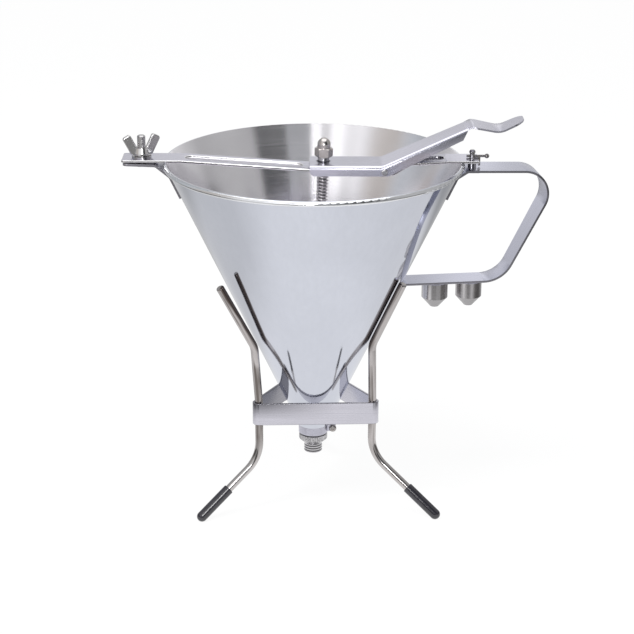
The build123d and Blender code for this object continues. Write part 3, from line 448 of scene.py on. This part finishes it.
# Dark front faces of the bar and the handle are painted shade; the fine one also darkens the band's cut edges
front_painted_shade = steel("front_painted_shade_steel", (0.16, 0.155, 0.17), 0.30, ALONG_Z_LINES, BRUSHED)
cut_edge_and_front_painted_shade = steel("cut_edge_and_front_painted_shade_steel", (0.30, 0.295, 0.33), 0.30, ALONG_Z_LINES, BRUSHED)
rubbed = steel("rubbed_steel", (0.97, 0.96, 0.97), 0.22, FINE_SCRATCHES, POLISHED, patch=60.0, vary=0.03)
# The band's steel, with painted dark reflection and shade at its left
satin_upright = steel("satin_steel_upright", (0.66, 0.65, 0.72), 0.26, ALONG_Z_LINES, BRUSHED, painted_dark_and_knurl=band_painted_shade)
turned = steel("turned_steel", (0.52, 0.51, 0.52), 0.20, ALONG_Z_LINES, TURNED, spun=0.5)
# The outlet nipple: painted shade in its thread's grooves, and a darker speckled knurl
turned_bright = steel(
    "turned_steel_bright", (0.74, 0.73, 0.75), 0.20, ALONG_Z_LINES, TURNED, spun=0.5, painted_dark_and_knurl=nipple_painted_shade_and_knurl
)
frosted = steel("frosted_steel", (0.60, 0.595, 0.68), 0.36, KNURL, FROSTED, vary=0.16)
# The nozzles: painted dark reflection streaks, and painted shade on the tips
nozzle_steel = steel("nozzle_steel", (0.74, 0.72, 0.735), 0.22, ALONG_Z_LINES, FINE_TURNED, painted_dark_and_knurl=nozzle_painted_reflections)
cast = steel("cast_steel", (0.76, 0.75, 0.755), 0.13, CAST_GRAIN, BRUSHED)
dull = steel("dull_steel", (0.40, 0.38, 0.37), 0.25, CAST_GRAIN, COARSE)
nut_steel = steel("nut_steel", (0.56, 0.53, 0.52), 0.12, FINE_SCRATCHES, SMOOTH, patch=200.0)
spring_steel = steel("spring_steel", (0.72, 0.70, 0.73), 0.10, FINE_SCRATCHES, SMOOTH, patch=200.0)
wires = {side: drawn_wire("wire_painted_reflections_" + side, **look) for side, look in WIRE_LOOKS.items()}
black = rubber("black_rubber")

FINISH = {
    mirror: ["funnel_cone"],
    nut_steel: ["acorn_nut"],
    cast: ["wing_nut"],
    turned_bright: ["outlet_nipple"],
    frosted: ["outlet_neck"],
    nozzle_steel: ["nozzle_inner", "nozzle_outer"],
    satin: ["bridge_bar", "lever"],
    satin_blue: ["handle"],
    satin_dark: ["left_lug_bracket"],
    satin_upright: ["stand_band"],
    turned: [
        "nozzle_stud_inner", "nozzle_stud_outer", "lug_bolt", "lug_washer", "latch_stud", "rod_bush", "piston_rod",
        "rod_washer", "spring_collar", "collar_pin", "valve_plug", "lever_pivot_pin",
    ],
    dull: ["lock_pin", "neck_screw"],
    wires["left"]: ["stand_leg_left"],
    wires["right"]: ["stand_leg_right"],
    wires["back"]: ["stand_leg_back"],
    black: ["foot_sleeve_left", "foot_sleeve_right", "foot_sleeve_back", "outlet_gasket", "valve_seal"],
}
for material, names in FINISH.items():
    for name in names:
        nodes[name].data.materials.clear()
        nodes[name].data.materials.append(material)


# Finishes of single faces

def finish_cone():
    """Polished outside, bright lip, and a spun finish on the inside of the sheet."""
    mesh = nodes["funnel_cone"].data
    mesh.materials.append(spun_inside)
    mesh.materials.append(bright)
    for face in mesh.polygons:
        away = hypot(face.center.x, face.center.y)
        outward = (face.normal.x * face.center.x + face.normal.y * face.center.y) / away
        beyond_sheet = away - SHEET_TOP_R + (SHEET_TOP_Z - face.center.z) * SHEET_SLOPE
        if beyond_sheet > SHEET_NEAR:
            face.material_index = 2 if outward > LIP_OUTWARD or face.normal.z < 0 else 1
        else:
            face.material_index = 0 if outward > 0 else 1


def finish_bar():
    """The pressed groove in the bridge bar is rougher than its top and painted darker with shade, and its front faces
    are painted dark with shade.
    """
    mesh = nodes["bridge_bar"].data
    mesh.materials.append(pressed)
    mesh.materials.append(front_painted_shade)
    top = max(vertex.co.z for vertex in mesh.vertices)
    for face in mesh.polygons:
        if abs(face.center.y) < GROOVE_HALF and face.center.z < top - GROOVE_SKIN:
            face.material_index = 1
        elif face.normal.y < FRONT_FACING:
            face.material_index = 2


def finish_handle():
    """The front faces of the handle's strip are painted darker with shade than its other faces."""
    mesh = nodes["handle"].data
    mesh.materials.append(cut_edge_and_front_painted_shade)
    for face in mesh.polygons:
        if face.normal.y < FRONT_FACING:
            face.material_index = 1


finish_cone()
finish_bar()
finish_handle()


# Rounded edges on the strips

def round_edges(node, width, edge=None, clamp=True):
    """A small round on sharp edges, with a material of its own where one is given."""
    weld = node.modifiers.new("weld", "WELD")
    weld.merge_threshold = WELD_NEAR
    flat = node.modifiers.new("flat_faces", "DECIMATE")
    flat.decimate_type = "DISSOLVE"
    flat.angle_limit = radians(FLAT_ANGLE)
    bevel = node.modifiers.new("round_edges", "BEVEL")
    bevel.width = width
    bevel.segments = ROUND_SEGMENTS
    bevel.limit_method = "ANGLE"
    bevel.angle_limit = radians(SHARP_ANGLE)
    bevel.harden_normals = True
    bevel.use_clamp_overlap = clamp
    if edge:
        node.data.materials.append(edge)
        bevel.material = len(node.data.materials) - 1


round_edges(nodes["left_lug_bracket"], EDGE_ROUND)
round_edges(nodes["stand_band"], EDGE_ROUND, cut_edge_and_front_painted_shade)
round_edges(nodes["lever"], EDGE_ROUND, rubbed)
round_edges(nodes["handle"], EDGE_ROUND, rubbed)
round_edges(nodes["bridge_bar"], BAR_ROUND, rubbed, clamp=False)


# Return spring

def rod_frame():
    """Place of a point on the upright rod once the rod leans."""
    foot = Matrix.Translation((0, 0, ROD_FOOT_Z))
    return foot @ Matrix.Rotation(radians(ROD_LEAN), 4, "Y") @ foot.inverted()


def coil_height(share):
    """Drop of the wire's middle along the coil, closed at both ends; share runs from 0 to 1."""
    turn = share * (SPRING_TURNS + 2 * SPRING_CLOSED)
    flat_pitch = 2 * SPRING_WIRE
    free = SPRING_LENGTH - 2 * SPRING_WIRE - 2 * SPRING_CLOSED * flat_pitch
    if turn < SPRING_CLOSED:
        return turn * flat_pitch
    if turn > SPRING_TURNS + SPRING_CLOSED:
        return SPRING_CLOSED * flat_pitch + free + (turn - SPRING_TURNS - SPRING_CLOSED) * flat_pitch
    return SPRING_CLOSED * flat_pitch + free * (turn - SPRING_CLOSED) / SPRING_TURNS


def make_spring():
    """The coil in place of the solid spring. Its top stays under the bush."""
    turns = SPRING_TURNS + 2 * SPRING_CLOSED
    steps = int(turns * STEPS_PER_TURN)
    place = rod_frame()
    points = []
    for i in range(steps + 1):
        angle = 2 * pi * turns * i / steps
        z = SPRING_TOP_Z - SPRING_WIRE - coil_height(i / steps)
        points.append(Vector((SPRING_RADIUS * cos(angle), SPRING_RADIUS * sin(angle), z)))
    verts, faces = [], []
    for i, point in enumerate(points):
        ahead = (points[min(i + 1, steps)] - points[max(i - 1, 0)]).normalized()
        out = Vector((point.x, point.y, 0)).normalized()
        side = ahead.cross(out).normalized()
        for k in range(RING_SIDES):
            a = 2 * pi * k / RING_SIDES
            verts.append(place @ (point + (out * cos(a) + side * sin(a)) * SPRING_WIRE))
    for i in range(steps):
        for k in range(RING_SIDES):
            a = i * RING_SIDES + k
            b = i * RING_SIDES + (k + 1) % RING_SIDES
            faces.append((a, b, b + RING_SIDES, a + RING_SIDES))
    faces.append(tuple(reversed(range(RING_SIDES))))
    faces.append(tuple(range(steps * RING_SIDES, (steps + 1) * RING_SIDES)))
    spring = mesh_object("spring_coil", verts, faces)
    for face in spring.data.polygons:
        face.use_smooth = len(face.vertices) == 4
    spring.data.materials.append(spring_steel)
    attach(spring, "funnel")
    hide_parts("return_spring")
    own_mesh(spring)


make_spring()


# Studio

def backdrop_rays(tree):
    """1 for the rays that show the backdrop: camera, glossy and transmission rays."""
    path = tree.nodes.new("ShaderNodeLightPath")
    shown = path.outputs["Is Camera Ray"]
    for ray in ("Is Glossy Ray", "Is Transmission Ray"):
        either = tree.nodes.new("ShaderNodeMath")
        either.operation = "MAXIMUM"
        tree.links.new(shown, either.inputs[0])
        tree.links.new(path.outputs[ray], either.inputs[1])
        shown = either.outputs[0]
    return shown


def make_world():
    """White where it shows, and a soft light from all sides."""
    world = bpy.data.worlds.new("studio")
    bpy.context.scene.world = world
    world.use_nodes = True
    tree = world.node_tree
    light = tree.nodes["Background"]
    light.inputs["Color"].default_value = (*SKY_TINT, 1.0)
    light.inputs["Strength"].default_value = SKY_STRENGTH
    white = tree.nodes.new("ShaderNodeBackground")
    white.inputs["Color"].default_value = (*WHITE, 1.0)
    mix = tree.nodes.new("ShaderNodeMixShader")
    tree.links.new(backdrop_rays(tree), mix.inputs["Fac"])
    tree.links.new(light.outputs[0], mix.inputs[1])
    tree.links.new(white.outputs[0], mix.inputs[2])
    tree.links.new(mix.outputs[0], tree.nodes["World Output"].inputs["Surface"])


def square(half, z):
    return [(-half, -half, z), (half, -half, z), (half, half, z), (-half, half, z)]


def make_floor():
    """White paper that keeps the object's shadow."""
    floor = mesh_object("floor", square(FLOOR_HALF, -FLOOR_DROP), [(0, 1, 2, 3)])
    s = Surface("floor")
    paper = s.add("ShaderNodeBsdfDiffuse")
    paper.inputs["Color"].default_value = (*FLOOR_PAPER, 1.0)
    white = s.add("ShaderNodeEmission")
    white.inputs["Strength"].default_value = FLOOR_GLOW
    share = s.add("ShaderNodeMath", operation="MULTIPLY")
    share.inputs[1].default_value = FLOOR_GLOW_SHARE
    s.link(backdrop_rays(s.tree), share.inputs[0])
    mix = s.add("ShaderNodeMixShader")
    s.link(share.outputs[0], mix.inputs["Fac"])
    s.link(paper.outputs[0], mix.inputs[1])
    s.link(white.outputs[0], mix.inputs[2])
    s.replace_shader(mix)
    floor.data.materials.append(s.material)


# Greys of the studio that only reflections see: (degrees to the right of the camera's side, grey, warmth)
TOP_PANELS = [
    (-180, 1.0, 0), (-60, 1.0, 0), (-30, 0.8, 0), (0, 0.35, 0), (90, 0.35, 0), (120, 1.0, 0), (180, 1.0, 0),
]
UPPER_PANELS = [
    (-180, 0.80, 0), (-160, 0.80, 0), (-148, 0.55, 0), (-122, 0.40, -1), (-100, 0.56, -2), (-90, 0.56, 0),
    (-84, 0.50, 2), (-70, 0.53, 2), (-61, 0.66, 1), (-53, 0.85, 0), (-47, 0.98, 0), (-40, 0.88, 0), (-34, 0.92, 0),
    (-27, 1.3, 0), (-19, 1.3, 0), (-15, 0.75, 0), (-8, 0.60, 0), (-6, 1.2, 0), (2, 1.2, 0), (4, 0.35, -1),
    (26, 0.34, -1), (30, 0.06, -1), (56, 0.06, -1), (62, 0.44, 0), (86, 0.50, 0), (120, 0.45, 0), (148, 0.70, 0),
    (156, 0.72, 0), (159, 0.98, 0), (163, 0.98, 0), (167, 0.64, 0), (180, 0.78, 0),
]
LOWER_PANELS = [
    (-180, 0.55, 0), (-145, 0.62, 0), (-120, 0.45, 0), (-95, 0.15, 1), (-62, 0.16, 1), (-50, 0.58, 0), (-30, 0.50, 0),
    (-18, 0.14, 1), (12, 0.13, 1), (24, 0.46, 0), (44, 0.52, 0), (56, 0.18, 1), (90, 0.12, 1), (120, 0.35, 0),
    (180, 0.55, 0),
]
TABLE_PANELS = [
    (-180, 0.80, 0), (-130, 0.72, 0), (-75, 0.78, 0), (-40, 1.0, 0), (0, 1.0, 0), (50, 0.93, 0), (100, 0.86, 0),
    (140, 0.86, 0), (180, 0.80, 0),
]


def panel_ramp(s, around, panels):
    """Colours round the studio from a list of panels."""
    ramp = s.add("ShaderNodeValToRGB")
    stops = ramp.color_ramp.elements
    while len(stops) > 1:
        stops.remove(stops[0])
    stops[0].position = 0.0
    for i, (angle, grey, warmth) in enumerate(panels):
        stop = stops[0] if i == 0 else stops.new((angle + 180) / 360)
        stop.color = (grey * (1 + PANEL_WARMTH * warmth), grey, grey * (1 - PANEL_WARMTH * warmth), 1.0)
    s.link(around, ramp.inputs["Fac"])
    return ramp.outputs["Color"]


def hide_from_all_but_reflections(thing):
    thing.visible_camera = False
    thing.visible_diffuse = False
    thing.visible_shadow = False
    thing.visible_transmission = False


def cove_colour(s):
    """The table and, above it, the rows of panels on the wall."""
    around = s.add("ShaderNodeTexGradient", gradient_type="RADIAL")
    s.link(s.turned_about_z(CAMERA_SIDE), around.inputs["Vector"])

    def row(panels):
        return panel_ramp(s, around.outputs["Fac"], panels)

    def step(value, start, end):
        return s.span(value, 0.0, 1.0, start, end, smooth=True)

    away, height = s.from_axis(), s.along("Z")
    table = s.mix(step(away, TABLE_WHITE_R, TABLE_GREY_R), WHITE, row(TABLE_PANELS))
    below = s.mix(step(away, TABLE_END_R, WALL_RADIUS), table, row(LOWER_PANELS))
    sides = s.mix(step(height, LOWER_TOP_Z, UPPER_LOW_Z), below, row(UPPER_PANELS))
    return s.mix(step(height, UPPER_TOP_Z, TOP_LOW_Z), sides, row(TOP_PANELS))


def make_cove():
    """A round cove of grey panels, table and wall in one, seen only in reflections."""
    profile = [(COVE_HOLE_R, COVE_Z), (WALL_RADIUS, COVE_Z), (WALL_RADIUS, WALL_HEIGHT)]
    rows = len(profile)
    verts, faces = [], []
    for i in range(COVE_SIDES):
        a = 2 * pi * i / COVE_SIDES
        verts += [(r * cos(a), r * sin(a), z) for r, z in profile]
        j = (i + 1) % COVE_SIDES
        for k in range(rows - 1):
            faces.append((i * rows + k, j * rows + k, j * rows + k + 1, i * rows + k + 1))
    cove = mesh_object("cove", verts, faces)
    hide_from_all_but_reflections(cove)
    s = Surface("cove")
    glow = s.add("ShaderNodeEmission")
    s.link(cove_colour(s), glow.inputs["Color"])
    s.replace_shader(glow)
    cove.data.materials.append(s.material)


def make_card(name, corners, turn, strength):
    """A bright card, given by its corners and turned about Z, seen only in reflections."""
    card = mesh_object(name, corners, [(0, 1, 2, 3)])
    card.rotation_euler = (0, 0, radians(turn))
    hide_from_all_but_reflections(card)
    s = Surface(name)
    glow = s.add("ShaderNodeEmission")
    glow.inputs["Strength"].default_value = strength
    s.replace_shader(glow)
    card.data.materials.append(s.material)


def make_cards():
    """The card in front, for the cone, and the one overhead, for what faces up."""
    front = [
        (-FRONT_HALF, FRONT_Y, FRONT_LOW_Z), (FRONT_HALF, FRONT_Y, FRONT_LOW_Z),
        (FRONT_HALF, FRONT_Y, FRONT_HIGH_Z), (-FRONT_HALF, FRONT_Y, FRONT_HIGH_Z),
    ]
    make_card("card_front", front, FRONT_TURN, FRONT_GLOW)
    make_card("card_above", square(ABOVE_HALF, ABOVE_Z), 0, ABOVE_GLOW)


def make_lamp(name, at, size, watts):
    """A soft box that points at the object."""
    lamp = bpy.data.lights.new(name, "AREA")
    lamp.shape = "RECTANGLE"
    lamp.size, lamp.size_y = size
    lamp.energy = watts
    holder = bpy.data.objects.new(name, lamp)
    holder.location = at
    holder.rotation_mode = "QUATERNION"
    holder.rotation_quaternion = (Vector(LAMP_AIM) - Vector(at)).to_track_quat("-Z", "Y")
    holder.visible_glossy = False  # reflections show the cove and the cards instead
    bpy.context.scene.collection.objects.link(holder)


def make_camera():
    """The photograph's view."""
    data = bpy.data.cameras.new("camera")
    data.lens = CAMERA_LENS
    data.sensor_width = CAMERA_SENSOR
    camera = bpy.data.objects.new("camera", data)
    aim = Euler((radians(90 - CAMERA_PITCH), 0, radians(-CAMERA_YAW))).to_matrix().to_4x4()
    camera.matrix_world = Matrix.Translation(CAMERA_AT) @ aim @ Matrix.Rotation(radians(CAMERA_ROLL), 4, "Z")
    bpy.context.scene.collection.objects.link(camera)
    bpy.context.scene.camera = camera


make_world()
make_floor()
make_cove()
make_cards()
for lamp in LAMPS:
    make_lamp(*lamp)
make_camera()
bpy.context.scene.view_settings.view_transform = "Standard"
